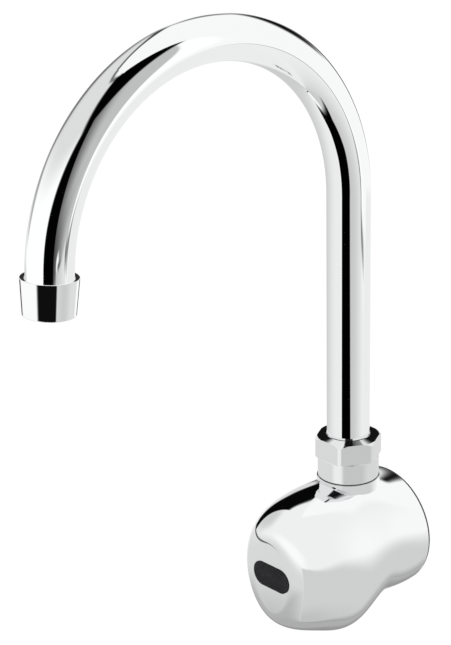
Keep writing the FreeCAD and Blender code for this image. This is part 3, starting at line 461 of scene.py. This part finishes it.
def oval_at(along, angle):
    """A point round the casting's section at a place along the spline."""
    depth, width, top, bottom = (spline(column, along) for column in zip(*CASTING_OVALS))
    height = (top - bottom) / 2 + (top + bottom) / 2 * math.sin(angle)
    return Vector((width / 2 * math.cos(angle), -depth, height))


def casting_form(rows=110, steps=160):
    """The outer form: a ring of edges at the wall, drawn forwards through the ovals."""
    bm = bmesh.new()
    ring = open_ring(bm, 1, (0, 0, 0), steps)
    angles = {vert: math.atan2(vert.co.y, vert.co.x) for edge in ring for vert in edge.verts}
    for vert, angle in angles.items():
        vert.co = oval_at(0, angle)
    bmesh.ops.edgeloop_fill(bm, edges=ring)
    for row in range(1, rows + 1):
        along = CASTING_KNOTS[-1] * row / rows
        before = {vert for edge in ring for vert in edge.verts}
        made = bmesh.ops.extrude_edge_only(bm, edges=ring)["geom"]
        ring = edges_of(made)
        for vert in corners_of(made):
            reached = [edge.other_vert(vert) for edge in vert.link_edges]
            twin = [other for other in reached if other in before][0]
            angles[vert] = angles[twin]
            vert.co = oval_at(along, angles[vert])
    bmesh.ops.edgeloop_fill(bm, edges=ring)
    bmesh.ops.recalc_face_normals(bm, faces=bm.faces[:])
    return bm


casting_skin = to_object(casting_form(), "casting_skin")

# the low round seat that the neck stands on is joined to it
carve(casting_skin, place(turned([
    (0, SEAT_ROOT), (SEAT_RADIUS, SEAT_ROOT), (SEAT_RADIUS, SEAT_Z), (0, SEAT_Z),
]), ON_RISER), "UNION")

# the hollow, open at the wall and narrowing behind the sensor face
carve(casting_skin, place(turned([
    (0, -BORE_OVERSHOOT), (BORE_RADIUS, -BORE_OVERSHOOT), (BORE_RADIUS, BORE_DEPTH),
    (BORE_END_RADIUS, BORE_END), (0, BORE_END),
]), ALONG_Y))

# the hole for the neck's shank
carve(casting_skin, place(turned([
    (0, SHANK_HOLE_FROM), (SHANK_HOLE_RADIUS, SHANK_HOLE_FROM),
    (SHANK_HOLE_RADIUS, SHANK_HOLE_TO), (0, SHANK_HOLE_TO),
]), ON_RISER))

# the window's recess, and the smaller opening behind its ledge
carve(casting_skin, slot_block(
    WINDOW_WIDTH, WINDOW_HEIGHT, FACE_DEPTH + CUT_MARGIN, FACE_DEPTH - WINDOW_RECESS
))
carve(casting_skin, slot_block(
    WINDOW_WIDTH - 2 * WINDOW_LEDGE, WINDOW_HEIGHT - 2 * WINDOW_LEDGE,
    FACE_DEPTH + CUT_MARGIN, FACE_DEPTH - WINDOW_OPENING
))

# the hole for the set screw, from below
carve(casting_skin, place(turned([
    (0, SET_SCREW_FROM), (SET_SCREW_RADIUS, SET_SCREW_FROM),
    (SET_SCREW_RADIUS, SET_SCREW_TO), (0, SET_SCREW_TO),
], HOLE_STEPS), Matrix.Translation((0, -SET_SCREW_DEPTH, 0))))
dress(casting_skin, "mounting", "polished_chrome", chrome, "body_shell")

# the window, polished, with a soft edge
window_lens = to_object(slot_block(
    WINDOW_WIDTH - 2 * WINDOW_GAP, WINDOW_HEIGHT - 2 * WINDOW_GAP,
    FACE_DEPTH + WINDOW_PROUD, FACE_DEPTH - WINDOW_BACK
), "window_lens")
soften(window_lens, 0.3, segments=4, angle=60)
dress(window_lens, "mounting", "window_plastic", smoked, "sensor_window")

# ------------------------------------------------------------------ the neck

neck_collar = to_object(place(turned([
    (WATERWAY_RADIUS, SHANK_BOTTOM), (SHANK_RADIUS, SHANK_BOTTOM),
    (SHANK_RADIUS, COLLAR_BOTTOM), (COLLAR_RADIUS, COLLAR_BOTTOM),
    (COLLAR_RADIUS, COLLAR_TOP), (STUB_RADIUS, COLLAR_TOP),
    (STUB_RADIUS, STUB_TOP), (SOCKET_RADIUS, STUB_TOP),
    (SOCKET_RADIUS, SOCKET_FLOOR), (WATERWAY_RADIUS, SOCKET_FLOOR),
], FINE_STEPS), ON_RISER), "neck_collar")
soften(neck_collar, 0.28)
dress(neck_collar, "mounting", "polished_chrome", chrome, "neck_adapter")

# the nut is turned first, and its flats are cut after that
union_nut = to_object(place(turned([
    (STUB_RADIUS + NUT_THREAD_GAP, COLLAR_TOP), (NUT_CORNER - NUT_EDGE, COLLAR_TOP),
    (NUT_CORNER, COLLAR_TOP + NUT_EDGE), (NUT_CORNER, NUT_TOP - NUT_TOP_DROP),
    (NUT_TOP_RADIUS, NUT_TOP), (TUBE_RADIUS + NUT_MOUTH_GAP, CONE_TOP),
    (TUBE_RADIUS + NUT_MOUTH_GAP, NUT_SHOULDER), (STUB_RADIUS + NUT_THREAD_GAP, NUT_SHOULDER),
], FINE_STEPS), ON_RISER), "union_nut")
carve(union_nut, hexagon_block(NUT_FLAT, HEXAGON_FROM, HEXAGON_HEIGHT), "INTERSECT")
soften(union_nut, 0.16, angle=20)
dress(union_nut, "mounting", "polished_chrome", chrome, "coupling_nut")

# the thread that the supply pipe screws into: one ridge, wound inside the elbow's mouth
winding = bmesh.new()
ridge = [winding.verts.new(corner) for corner in (
    (THREAD_ROOT_RADIUS, 0, THREAD_START),
    (THREAD_ROOT_RADIUS, 0, THREAD_START + THREAD_FOOT),
    (THREAD_CREST_RADIUS, 0, THREAD_START + THREAD_FOOT / 2),
)]
ridge_face = winding.faces.new(ridge)
bmesh.ops.spin(
    winding, geom=ridge + ridge_face.edges[:] + [ridge_face], cent=(0, 0, 0), axis=(0, 0, 1),
    dvec=(0, 0, THREAD_PITCH / THREAD_STEPS), angle=2 * math.pi * THREAD_TURNS,
    steps=THREAD_STEPS * THREAD_TURNS, use_merge=False, use_normal_flip=False, use_duplicate=False
)
close_up(winding)
inlet_thread = to_object(place(winding, ALONG_Y), "inlet_thread")
dress(inlet_thread, "mounting", "brass_waterway", brass)

# ------------------------------------------------------------------ the spout

# the outer and the inner wall are drawn up, bent over and drawn out, and bridged at both ends
pipe = bmesh.new()
heading = Vector((0, -math.sin(BEND_ANGLE), math.cos(BEND_ANGLE)))
wall_ends = []
for radius in (TUBE_RADIUS, TUBE_BORE):
    foot = open_ring(pipe, radius, (0, RISER_Y, TUBE_BOTTOM), TUBE_STEPS)
    top = drawn_out(pipe, foot, (0, 0, RISER_TOP - TUBE_BOTTOM))
    corners = list({vert for edge in top for vert in edge.verts})
    swept = bmesh.ops.spin(
        pipe, geom=corners + top, cent=(0, RISER_Y - BEND_RADIUS, RISER_TOP), axis=(1, 0, 0),
        dvec=(0, 0, 0), angle=BEND_ANGLE, steps=BEND_STEPS,
        use_merge=False, use_normal_flip=False, use_duplicate=False
    )["geom_last"]
    wall_ends.append((foot, drawn_out(pipe, edges_of(swept), heading * TAIL_LENGTH)))
for outer, inner in zip(*wall_ends):
    bmesh.ops.bridge_loops(pipe, edges=outer + inner)
bmesh.ops.recalc_face_normals(pipe, faces=pipe.faces[:])
gooseneck = to_object(pipe, "gooseneck")
dress(gooseneck, "spout", "polished_chrome", chrome, "gooseneck_tube")

# the tapered ring, its top dished towards the tube and its lip turned in at the mouth
outlet_nozzle = to_object(place(turned([
    (TUBE_RADIUS + OUTLET_GAP, OUTLET_GRIP - OUTLET_DISH), (OUTLET_TOP_RADIUS, OUTLET_GRIP),
    (OUTLET_BOTTOM_RADIUS, OUTLET_MOUTH), (OUTLET_LIP_RADIUS, OUTLET_MOUTH),
    (OUTLET_LIP_RADIUS, OUTLET_MOUTH + OUTLET_LIP_HEIGHT),
    (OUTLET_BORE, OUTLET_MOUTH + OUTLET_LIP_HEIGHT),
    (OUTLET_BORE, OUTLET_WASHER), (TUBE_RADIUS + OUTLET_GAP, OUTLET_WASHER),
], FINE_STEPS), AT_OUTLET), "outlet_nozzle")
soften(outlet_nozzle, 0.4, segments=4)
dress(outlet_nozzle, "spout", "polished_chrome", chrome, "outlet_shell")


# ------------------------------------------------------------------ patterns written as formulas

class Amount:
    """A number that shader nodes work out, so that a pattern can be written as a formula."""

    def __init__(self, made, socket):
        self.made = made
        self.socket = socket

    def worked(self, operation, *others):
        """The result of a Math node on this number and others."""
        step = node(self.made, "ShaderNodeMath", operation=operation)
        for slot, other in zip(step.inputs, (self, *others)):
            join(self.made, other, slot)
        return Amount(self.made, step.outputs[0])

    def __add__(self, other):
        return self.worked("ADD", other)

    def __sub__(self, other):
        return self.worked("SUBTRACT", other)

    def __mul__(self, other):
        return self.worked("MULTIPLY", other)

    def __rsub__(self, other):
        return self * -1 + other

    def __neg__(self):
        return self * -1

    def __truediv__(self, other):
        return self * (1 / other)

    def __pow__(self, power):
        return self.worked("POWER", power)

    def __abs__(self):
        return self.worked("ABSOLUTE")

    __radd__ = __add__
    __rmul__ = __mul__


def join(made, value, slot):
    """Feed a socket from a worked-out number, or set it to a plain one."""
    if isinstance(value, Amount):
        made.node_tree.links.new(value.socket, slot)
    else:
        slot.default_value = value


def rise(amount, at, soft):
    """0 below a place and 1 above it, softly over a width."""
    step = node(amount.made, "ShaderNodeMapRange", interpolation_type="SMOOTHSTEP")
    join(amount.made, amount, step.inputs["Value"])
    join(amount.made, at - soft / 2, step.inputs["From Min"])
    join(amount.made, at + soft / 2, step.inputs["From Max"])
    return Amount(amount.made, step.outputs["Result"])


def fall(amount, at, soft):
    """1 below a place and 0 above it."""
    return 1 - rise(amount, at, soft)


def greater(amount, other):
    return amount.worked("MAXIMUM", other)


def lesser(amount, other):
    return amount.worked("MINIMUM", other)


def mix(first, second, share):
    """From the first value to the second by a share."""
    return (second - first) * share + first


def spot(az, el, middle_az, middle_el, half_width, half_height):
    """A soft oval patch."""
    across = (az - middle_az) / half_width
    up = (el - middle_el) / half_height
    return fall(across * across + up * up, 0.5, 1.0)


def line(amount, at, width):
    """A thin soft stroke where the amount passes a place."""
    return rise(amount, at - width / 2, width) * fall(amount, at + width / 2, width)


# ------------------------------------------------------------------ the light tents
#
# Polished chrome shows only what stands round it, and the photograph is retouched: its spout, outlet,
# neck and casting don't mirror the same room. So four tents of lit cloth stand round the tap, and each
# is seen only in its own pieces' polish. A pattern gives the cloth's brightness as the eye sees it, from
# 0 to 1, by bearing (az) and height (el) in degrees from the tents' middle. Bearing 0 looks straight out
# from the wall, and 90 along +X, to the right of someone who faces the tap. The places, widths and levels
# were tuned to match the photograph, from its own view.

TENT_MIDDLE = Vector((0, -0.09, 0.11))
TENT_RADIUS = 0.8
TENT_STEP = 0.005
TENT_SEGMENTS = 64
TENT_RINGS = 32
CHROME_SHARE = 0.935
DISPLAY_POWER = 2.2


def spout_light(az, el):
    """A tall black opening ahead and its wide top, a grey panel to the right, white cloth behind."""
    # the rounded rim of the space ahead of the tap
    lip = (abs(az - 4) / 126) ** 3.5 + (abs(el - az * 0.015) / 76) ** 3.5
    under = fall(lip, 1, 0.07)
    # the black opening, its wide top, and the grey panel to its right
    left_edge = lesser(greater(el, 0) ** 2 * 0.0105 + 21, el * -0.55 + 65.7)
    left_soft = greater(el, 0) * 0.22 + 3
    past_left = rise(az, left_edge, left_soft)
    top_edge = az * 0.05 + 39.5
    band = past_left * fall(az, 62, 3) * fall(el, 46, 3)
    cap = past_left * rise(el, top_edge, 6)
    panel = rise(az, 61, 3) * fall(az, 119.5, 2) * fall(el, top_edge, 6)
    panel_level = rise(az, 78, 44) * 0.33 + 0.41 - fall(el, 0, 14) * fall(az, 100, 26) * 0.13
    # the white cloth, a little darker high up and far left
    open_level = 1 - rise(el, az * 0.22 + 33, 26) * 0.14 - fall(az, -88, 60) * fall(el, 30, 30) * 0.16
    upper = mix(0.97, open_level, under)
    upper = mix(upper, panel_level, panel * under)
    upper = mix(upper, 0.04, greater(band, cap) * under)
    # a dark line along the rim, high up and to the left
    seam = rise(lip, 0.92, 0.1) * fall(lip, 1.06, 0.14) * fall(az, 30, 20) * rise(el, 26, 8)
    upper = upper * (1 - seam * (0.72 - rise(az, -60, 100) * 0.25))
    # dark places behind to the left, which the arm's outer outline mirrors
    upper = upper * (1 - spot(az, el, -133, 31, 14, 9) * 0.5)
    upper = upper * (1 - spot(az, el, -103, 12, 24, 22) * 0.42)
    upper = upper * (1 - spot(az, el, -80, 2, 14, 11) * 0.3)
    upper = upper * (1 - spot(az, el, -157, 21, 24, 13) * 0.93)
    upper = upper * (1 - spot(az, el, -150, 1, 12, 15) * 0.85)
    # a white sliver and a thin crease low on the panel
    upper = mix(upper, 1.0, spot(az, el, 79, -10.5, 8, 3.5))
    crease = line(el, az * -0.1 - 3.6, 1.6) * rise(az, 80, 8) * fall(az, 133, 8)
    upper = upper * (1 - crease * 0.5)
    # below the edge of the cloth: the black band again, between two greys
    low_left = lesser(el * 0.3 + 23, 11) - rise(-el, 66, 20) * 14
    low_right = lesser(el * -0.45 + 48, 64) + rise(-el, 57, 9) * 26
    low_band = rise(az, low_left, 4) * fall(az, low_right, 4) * rise(el, az * 0.2 - 76, 9)
    left_level = rise(az, -75, 110) * 0.13 + 0.79 + rise(az, low_left - 5, 6) * 0.06
    right_level = rise(az, 105, 80) * 0.16 + 0.78
    lower = mix(left_level, right_level, rise(az, 40, 10))
    lower = mix(lower, 0.03, low_band)
    lower = mix(lower, 0.92, rise(abs(az), 134, 10))
    upper = lesser(upper, rise(el, -15, 4) * 0.06 + 0.94)
    # the cloth ends below level, and lower still round bearing 131
    edge = fall(abs(az - 131), 14, 16) * -7 - 12.5
    return mix(lower, upper, rise(el, edge, 2))


def nozzle_light(az, el):
    """The same openings, as the turned nozzle shows them."""
    # cloth, a little darker to the right
    level = 0.98 - rise(az, 95, 60) * 0.10 - rise(az, 40, 40) * 0.14 + rise(az, 120, 60) * 0.12
    # the dark left edge and the black band in front
    level = mix(level, 0.25, fall(az, -88, 14) * rise(az, -150, 8) * fall(el, -14.5, 3))
    level = mix(level, 0.085, rise(az, 3, 11) * fall(az, 73, 6))
    # the dark part of the ring's dished top
    ring = rise(az, -144, 4) * fall(az, -102, 4) * rise(el, 3, 4) * fall(el, 40, 8)
    return mix(level, 0.2, ring)


def casting_light(az, el):
    """White cloth over a grey floor, with a dark opening to the left."""
    # the cloth, brighter behind and ahead, greyer to the left
    right = rise(az, 21, 8)
    far = greater(rise(az, 118, 34) * fall(el, 18, 44), rise(abs(az), 147, 16))
    level = 0.935 + far * 0.035 + spot(az, el, 0, -5, 50, 22) * 0.045
    level = level - spot(az, el, -85, 14, 38, 36) * 0.14
    # the floor to the right, from a horizon that falls away at both sides
    horizon = -11.5 - greater(az - 112, 0) * 0.38 - greater(50 - az, 0) * 0.1
    behind = greater(rise(az, 172, 30), fall(az, -125, 40))
    low_right = 0.805 - rise(-el, 66, 30) * 0.06 - behind * rise(-el, 36, 12) * 0.18
    level = mix(level, low_right, fall(el, horizon, greater(az - 50, 0) * 0.2 + 3) * right)
    # the floor to the left, darker further down
    low_left = 0.84 - rise(-el, 37.5, 9) * fall(az, 0, 90) * 0.14 - rise(-el, 52, 34) * 0.03
    level = mix(level, low_left, fall(el, -18, 22) * (1 - right) * rise(az, -108, 20))
    level = mix(level, low_left, fall(el, -38, 10) * (1 - right))
    level = level - spot(az, el, -135, -44, 45, 24) * 0.12
    # the black opening to the left, with a corner of cloth left in it
    right_edge = el * -0.09 - 92.5
    patch = rise(az, -141, 3) * fall(az, right_edge, 3.5) * rise(el, -16, 2) * fall(el, 52, 9)
    wedge = rise(az, -132, 3) * fall(az, el * -0.7 - 120.5, 8) * fall(el, 9, 6)
    level = mix(level, 0.06, patch * (1 - wedge * 0.9))
    # the thin dark line above the sensor's face
    rule = line(el, (az + 95) ** 2 * -0.005 - 16.3, 1.5) * rise(az, -108, 4) * fall(az, -46, 10)
    level = level * (1 - rule * 0.75)
    # a dark streak behind that opening
    streak = line(az + el * 0.6, -152, 8) * fall(el, 24, 6) * rise(el, -18, 6)
    return level * (1 - streak * 0.88)


def neck_light(az, el):
    """White cloth with dark openings high ahead and low behind, over a grey floor."""
    # the openings: high ahead, behind to the left, and level ahead
    level = mix(0.9, 0.1, rise(az, 12, 14) * fall(az, 92, 60) * rise(el, 22, 8))
    level = mix(level, 0.1, rise(az, -163, 6) * fall(az, -121, 6) * rise(el, -4, 5) * fall(el, 34, 8))
    level = mix(level, 0.15, rise(az, 32, 10) * fall(az, 72, 6) * rise(el, -11, 4) * fall(el, 14, 6))
    # the dark bar in the front of the nut's coned top
    bar = fall(az, -136.8, 1.4) * rise(az, -149.3, 1.4) * rise(el, 35.5, 3)
    bar_level = 0.1 + fall(az, -143.6, 1.2) * 0.22 + fall(az, -146, 6) * 0.2
    level = mix(level, bar_level, bar)
    # the floor
    low_level = 0.84 + rise(az, -15, 20) * 0.08 - rise(az, 112, 30) * 0.09
    low_level = mix(low_level, 0.76, rise(az, 26, 20) * fall(az, 118, 30))
    return mix(low_level, level, rise(el, -14, 8))


def staged(bm, name, centre):
    """A mesh drawn in metres becomes an object of its own at a centre, on none of the tap's bodies."""
    mesh = bpy.data.meshes.new(name)
    bm.to_mesh(mesh)
    bm.free()
    thing = bpy.data.objects.new(name, mesh)
    thing.location = centre
    bpy.context.scene.collection.objects.link(thing)
    return thing


def lit_cloth(name, pattern, radius):
    """A clear material that glows by a pattern."""
    cloth = bpy.data.materials.new(name)
    cloth.use_nodes = True
    cloth.node_tree.nodes.clear()
    where = node(cloth, "ShaderNodeTexCoord")
    parts = node(cloth, "ShaderNodeSeparateXYZ")
    cloth.node_tree.links.new(where.outputs["Object"], parts.inputs["Vector"])
    x, y, z = (Amount(cloth, socket) for socket in parts.outputs)
    az = x.worked("ARCTAN2", -y).worked("DEGREES")
    el = (z / radius).worked("ARCSINE").worked("DEGREES")
    glow = node(cloth, "ShaderNodeEmission")
    join(cloth, pattern(az, el) ** DISPLAY_POWER / CHROME_SHARE, glow.inputs["Strength"])
    clear = node(cloth, "ShaderNodeBsdfTransparent")
    both = node(cloth, "ShaderNodeAddShader")
    end = node(cloth, "ShaderNodeOutputMaterial")
    cloth.node_tree.links.new(glow.outputs["Emission"], both.inputs[0])
    cloth.node_tree.links.new(clear.outputs["BSDF"], both.inputs[1])
    cloth.node_tree.links.new(both.outputs["Shader"], end.inputs["Surface"])
    cloth.cycles.emission_sampling = "NONE"
    return cloth


def light_tent(name, pattern, radius, lit):
    """A round tent that only the given pieces' polish can see."""
    bm = bmesh.new()
    bmesh.ops.create_uvsphere(bm, u_segments=TENT_SEGMENTS, v_segments=TENT_RINGS, radius=radius)
    tent = staged(bm, name, TENT_MIDDLE)
    tent.data.materials.append(lit_cloth(name + "_cloth", pattern, radius))
    tent.visible_camera = False
    tent.visible_diffuse = False
    tent.visible_shadow = False
    tent.visible_transmission = False
    receivers = bpy.data.collections.new(name + "_receivers")
    for piece in lit:
        receivers.objects.link(piece)
    tent.light_linking.receiver_collection = receivers


neck_pieces = [neck_collar, union_nut]
other_pieces = [
    thing for thing in bpy.context.scene.objects
    if thing.type == "MESH" and thing not in [gooseneck, outlet_nozzle, *neck_pieces]
]
light_tent("spout_tent", spout_light, TENT_RADIUS, [gooseneck])
light_tent("nozzle_tent", nozzle_light, TENT_RADIUS + TENT_STEP, [outlet_nozzle])
light_tent("neck_tent", neck_light, TENT_RADIUS + 2 * TENT_STEP, neck_pieces)
light_tent("casting_tent", casting_light, TENT_RADIUS + 4 * TENT_STEP, other_pieces)

# these don't show in other pieces' polish, as the photograph's casting doesn't mirror its spout
for thing in [gooseneck, casting_skin, outlet_nozzle, *frame["nodes"].values()]:
    thing.visible_glossy = False

# ------------------------------------------------------------------ floor, soft light and camera

FLOOR_REACH = 12
FLOOR_DROP = 0.05
FLOOR_LIFT = 0.11

# the floor lies under the tents, and for the camera the lift brings its white up to the background's
floor_form = bmesh.new()
bmesh.ops.create_grid(floor_form, x_segments=1, y_segments=1, size=FLOOR_REACH)
floor = staged(floor_form, "floor", (0, 0, TENT_MIDDLE.z - TENT_RADIUS - FLOOR_DROP))
floor_white = finish("floor_white", (0.9, 0.9, 0.9), 0.0, 0.9, Specular_IOR_Level=0.0)
floor.data.materials.append(floor_white)
floor.visible_glossy = False
seen = Amount(floor_white, node(floor_white, "ShaderNodeLightPath").outputs["Is Camera Ray"])
floor_shader = floor_white.node_tree.nodes["Principled BSDF"]
floor_shader.inputs["Emission Color"].default_value = (1, 1, 1, 1)
join(floor_white, seen * FLOOR_LIFT, floor_shader.inputs["Emission Strength"])

# soft white light from all sides, which polish doesn't see: its tents stand in for it
world = bpy.data.worlds.new("studio")
bpy.context.scene.world = world
world.use_nodes = True
sky = world.node_tree.nodes["Background"]
sky.inputs["Color"].default_value = (1, 1, 1, 1)
mirrored = Amount(world, node(world, "ShaderNodeLightPath").outputs["Is Glossy Ray"])
join(world, 1 - mirrored, sky.inputs["Strength"])

# the camera: where it stands, what it looks at, and its slight lean
CAMERA_TARGET = Vector((0, -0.0869, 0.1111))
CAMERA_TURN = math.radians(48.46)
CAMERA_RISE = math.radians(20.46)
CAMERA_LEAN = math.radians(-1.14)
CAMERA_DISTANCE = 0.78435
CAMERA_LENS = 118.16
FILM_HEIGHT = 36
back = Vector((
    math.sin(CAMERA_TURN) * math.cos(CAMERA_RISE),
    -math.cos(CAMERA_TURN) * math.cos(CAMERA_RISE),
    math.sin(CAMERA_RISE),
))
right = Vector((math.cos(CAMERA_TURN), math.sin(CAMERA_TURN), 0))
upward = back.cross(right)
across = math.cos(CAMERA_LEAN) * right + math.sin(CAMERA_LEAN) * upward
up = math.cos(CAMERA_LEAN) * upward - math.sin(CAMERA_LEAN) * right
lens = bpy.data.cameras.new("camera")
lens.sensor_fit = "VERTICAL"
lens.sensor_height = FILM_HEIGHT
lens.lens = CAMERA_LENS
camera = bpy.data.objects.new("camera", lens)
bpy.context.scene.collection.objects.link(camera)
facing = Matrix((across, up, back)).transposed().to_4x4()
camera.matrix_world = Matrix.Translation(CAMERA_TARGET + back * CAMERA_DISTANCE) @ facing
bpy.context.scene.camera = camera
bpy.context.scene.view_settings.view_transform = "Standard"
